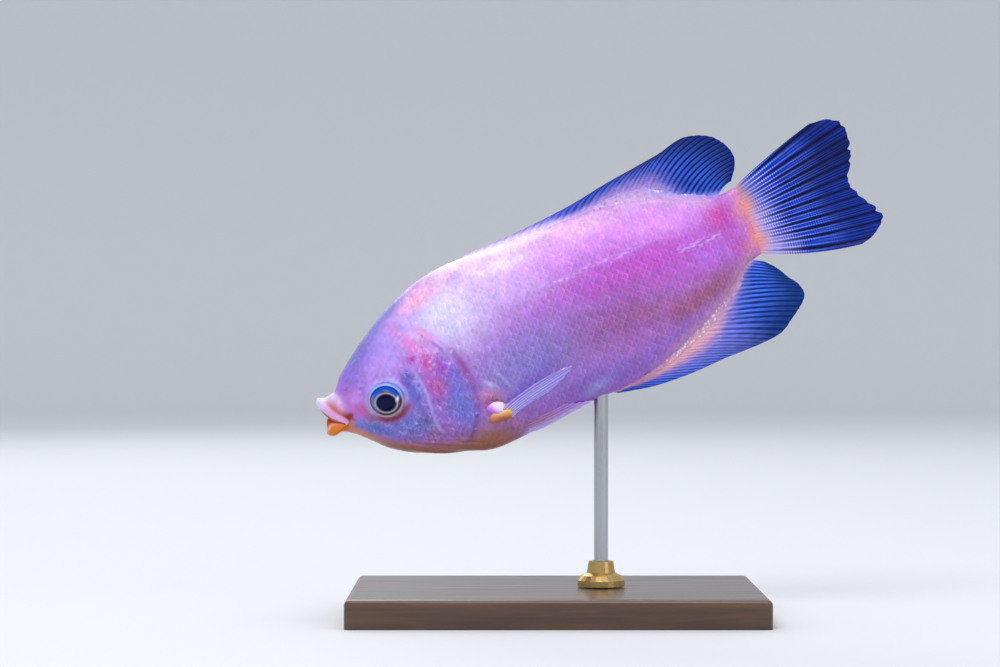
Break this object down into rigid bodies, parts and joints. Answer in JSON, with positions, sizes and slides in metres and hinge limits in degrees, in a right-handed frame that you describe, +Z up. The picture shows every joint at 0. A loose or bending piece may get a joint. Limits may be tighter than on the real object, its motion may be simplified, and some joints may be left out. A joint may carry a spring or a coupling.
{
  "type": "kissing gourami model",
  "caption": "Life-size kissing gourami swimming nose down, held over a flat wooden base by one thin steel rod.",
  "frame": {"origin": "centre of the underside of the display base, at the level of the surface it stands on", "axes": "+Z up; the fish faces -X with its nose 22.6 degrees down, its left side towards -Y"},
  "size_m": [0.119, 0.058, 0.1044],
  "materials": {
    "head_skin": "wet violet skin with a fine net of scales, salmon under the throat",
    "gill_cover_skin": "wet skin over bone, blue-violet with magenta patches",
    "upper_lip_skin": "smooth wet white-pink lip",
    "lower_lip_skin": "smooth wet orange lip",
    "eye": "polished clear cornea over a navy pupil, a silver ring and a blue iris",
    "flank_skin": "wet pearly scales, white-lilac at the shoulder to magenta behind",
    "tail_stalk_skin": "wet magenta scales, peach at the root of the tail fin",
    "median_fins": "deep blue membrane between paler blue rays",
    "paired_fins": "thin lavender membrane with whitish rays",
    "stand_wood": "dark stained wood with a satin varnish",
    "stand_steel": "fine brushed stainless steel",
    "stand_brass": "satin turned brass"
  },
  "bodies": {
    "root": {"head": "head_skin", "gill_cover_left": "gill_cover_skin", "gill_cover_right": "gill_cover_skin", "upper_lip": "upper_lip_skin", "lower_lip": "lower_lip_skin", "eye_left": "eye", "eye_right": "eye", "trunk": "flank_skin", "tail_stalk": "tail_stalk_skin", "dorsal_fin": "median_fins", "anal_fin": "median_fins", "tail_fin": "median_fins", "pectoral_fin_left": "paired_fins", "pectoral_fin_right": "paired_fins", "pelvic_fin_left": "paired_fins", "pelvic_fin_right": "paired_fins", "stand_base": "stand_wood", "stand_rod": "stand_steel", "stand_collar": "stand_brass"}
  },
  "joints": []
}
